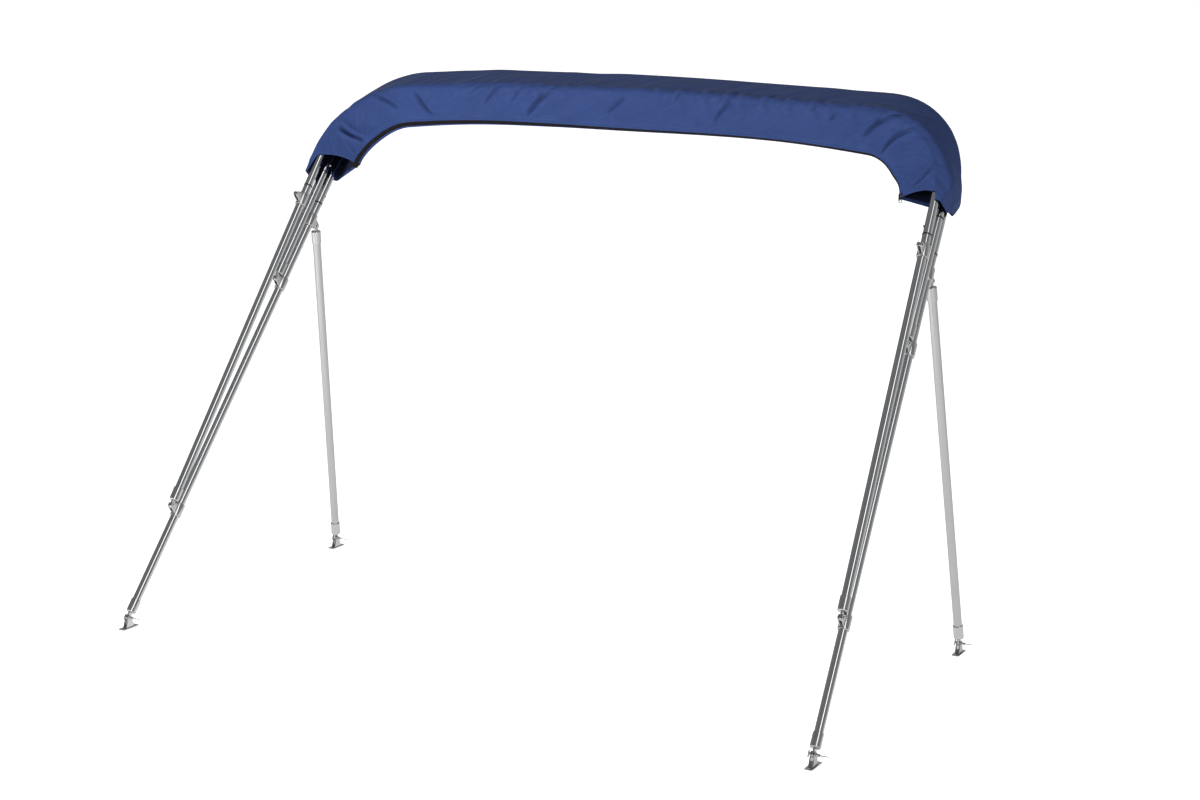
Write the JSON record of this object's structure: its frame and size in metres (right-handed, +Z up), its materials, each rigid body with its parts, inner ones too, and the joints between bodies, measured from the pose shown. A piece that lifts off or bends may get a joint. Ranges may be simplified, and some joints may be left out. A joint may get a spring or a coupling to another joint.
{
  "type": "stowed bimini top in its storage boot on its folding bow frame",
  "caption": "Folded bimini bows of bright tube, leaning back on deck hinges and rear support poles, their tops stowed in a zipped cloth storage boot.",
  "frame": {"origin": "middle of the part's outline on the deck, at the deck's surface", "axes": "+X to the right as seen from the front, +Y to the rear, the way that the bows lean back, +Z up"},
  "size_m": [1.9858, 1.061, 1.4266],
  "materials": {
    "boot_cloth": "coated woven marine cloth, bright navy blue",
    "zip_tape": "woven black tape",
    "zip_coil": "black moulded coil",
    "zip_metal": "nickel plated",
    "polished_tube": "bright polished and anodised",
    "satin_tube": "satin anodised",
    "fitting": "polished stainless steel",
    "joint_ring": "dark moulded ring"
  },
  "bodies": {
    "frame": {"boot": "boot_cloth", "zip_tape": "zip_tape", "zip_coil": "zip_coil", "zip_slider": "zip_metal", "zip_pull_ring": "zip_metal", "bow_front_top": "polished_tube", "bow_middle_top": "polished_tube", "bow_main_top": "polished_tube", "leg_front_l": "polished_tube", "leg_front_r": "polished_tube", "leg_middle_l": "polished_tube", "leg_middle_r": "polished_tube", "leg_main_l": "polished_tube", "leg_main_r": "polished_tube", "joint_ring_front_l": "joint_ring", "joint_ring_front_r": "joint_ring", "joint_ring_middle_l": "joint_ring", "joint_ring_middle_r": "joint_ring", "joint_ring_main_l": "joint_ring", "joint_ring_main_r": "joint_ring", "slide_front_l": "fitting", "slide_front_r": "fitting", "slide_middle_l": "fitting", "slide_middle_r": "fitting", "slide_strap_l": "fitting", "slide_strap_r": "fitting", "slide_pole_l": "fitting", "slide_pole_r": "fitting", "bolt_front_l": "fitting", "bolt_front_r": "fitting", "bolt_middle_l": "fitting", "bolt_middle_r": "fitting", "bolt_strap_l": "fitting", "bolt_strap_r": "fitting", "bolt_pole_l": "fitting", "bolt_pole_r": "fitting", "eye_front_l": "fitting", "eye_front_r": "fitting", "eye_middle_l": "fitting", "eye_middle_r": "fitting", "eye_main_l": "fitting", "eye_main_r": "fitting"},
    "main_foot_l": {"hinge_main_l": "fitting", "pin_main_l": "fitting"},
    "main_foot_r": {"hinge_main_r": "fitting", "pin_main_r": "fitting"},
    "support_pole_l": {"pole_l": "satin_tube", "eye_pole_top_l": "fitting", "eye_pole_foot_l": "fitting"},
    "support_pole_r": {"pole_r": "satin_tube", "eye_pole_top_r": "fitting", "eye_pole_foot_r": "fitting"},
    "pole_foot_l": {"hinge_pole_l": "fitting", "pin_pole_l": "fitting"},
    "pole_foot_r": {"hinge_pole_r": "fitting", "pin_pole_r": "fitting"}
  },
  "joints": [
    {"name": "main_foot_hinge_l", "type": "hinge", "parent": "frame", "child": "main_foot_l", "pos_m": [-0.97298, -0.50053, 0.028], "axis": [1, 0, 0], "range_deg": [-110, 35]},
    {"name": "main_foot_hinge_r", "type": "hinge", "parent": "frame", "child": "main_foot_r", "pos_m": [0.94978, -0.50053, 0.028], "axis": [1, 0, 0], "range_deg": [-110, 35]},
    {"name": "support_pole_hinge_l", "type": "hinge", "parent": "frame", "child": "support_pole_l", "pos_m": [-0.91898, 0.26204, 0.9795], "axis": [1, 0, 0], "range_deg": [-40, 60]},
    {"name": "support_pole_hinge_r", "type": "hinge", "parent": "frame", "child": "support_pole_r", "pos_m": [0.89578, 0.26204, 0.9795], "axis": [1, 0, 0], "range_deg": [-40, 60]},
    {"name": "pole_foot_hinge_l", "type": "hinge", "parent": "support_pole_l", "child": "pole_foot_l", "pos_m": [-0.9796, 0.44147, 0.028], "axis": [1, 0, 0], "range_deg": [-60, 80]},
    {"name": "pole_foot_hinge_r", "type": "hinge", "parent": "support_pole_r", "child": "pole_foot_r", "pos_m": [0.9564, 0.44147, 0.028], "axis": [1, 0, 0], "range_deg": [-60, 80]}
  ]
}
